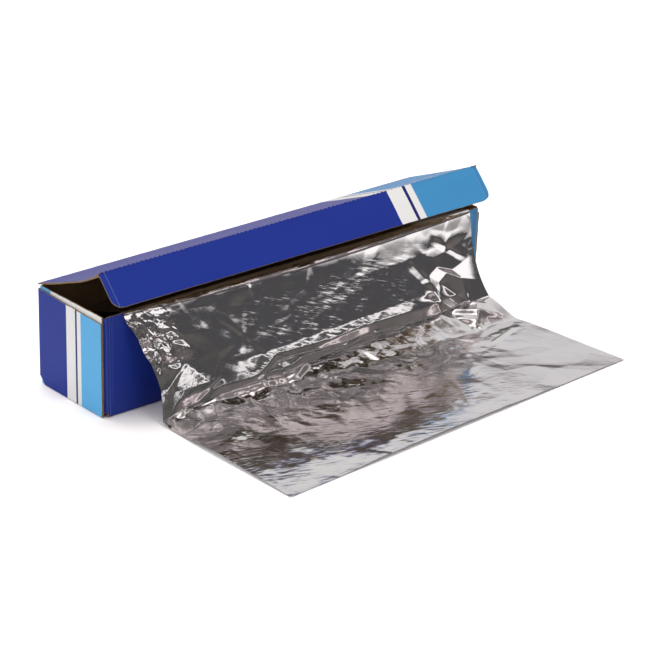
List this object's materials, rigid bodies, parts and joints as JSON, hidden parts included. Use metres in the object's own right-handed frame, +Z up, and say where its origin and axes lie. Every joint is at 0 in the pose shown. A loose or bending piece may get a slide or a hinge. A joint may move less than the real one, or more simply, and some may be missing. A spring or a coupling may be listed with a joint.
{
  "type": "aluminium foil roll",
  "caption": "Wide aluminium foil roll on a card core in a corrugated dispenser carton with its lid ajar, the first length drawn over the front wall and down onto the table.",
  "frame": {"origin": "centre of the carton's bottom face, on the table", "axes": "+X along the carton and roll, -Y to the front where the foil comes out, +Z up"},
  "size_m": [0.4921, 0.348, 0.1495],
  "materials": {
    "printed_board": "fluted kraft board, printed dark blue, white and light blue outside, bare kraft inside and on the raw edges",
    "tinplate": "bright tinplate strip",
    "core_card": "spiral wound greyboard",
    "foil": "bright rolled foil, crinkled where it hangs"
  },
  "bodies": {
    "carton": {"carton": "printed_board", "foil_roll": "foil", "roll_core": "core_card", "foil_sheet": "foil"},
    "lid": {"lid_panel": "printed_board"},
    "flap": {"lid_flap": "printed_board", "cutter_strip": "tinplate"}
  },
  "joints": [
    {"name": "lid_crease", "type": "hinge", "parent": "carton", "child": "lid", "pos_m": [0, 0.054, 0.105], "axis": [-1, 0, 0], "range_deg": [-19.3, 110], "deforming": ["foil_sheet"]},
    {"name": "flap_fold", "type": "hinge", "parent": "lid", "child": "flap", "pos_m": [0, -0.04879, 0.14948], "axis": [-1, 0, 0], "range_deg": [-22, 68], "deforming": ["foil_sheet"]}
  ]
}
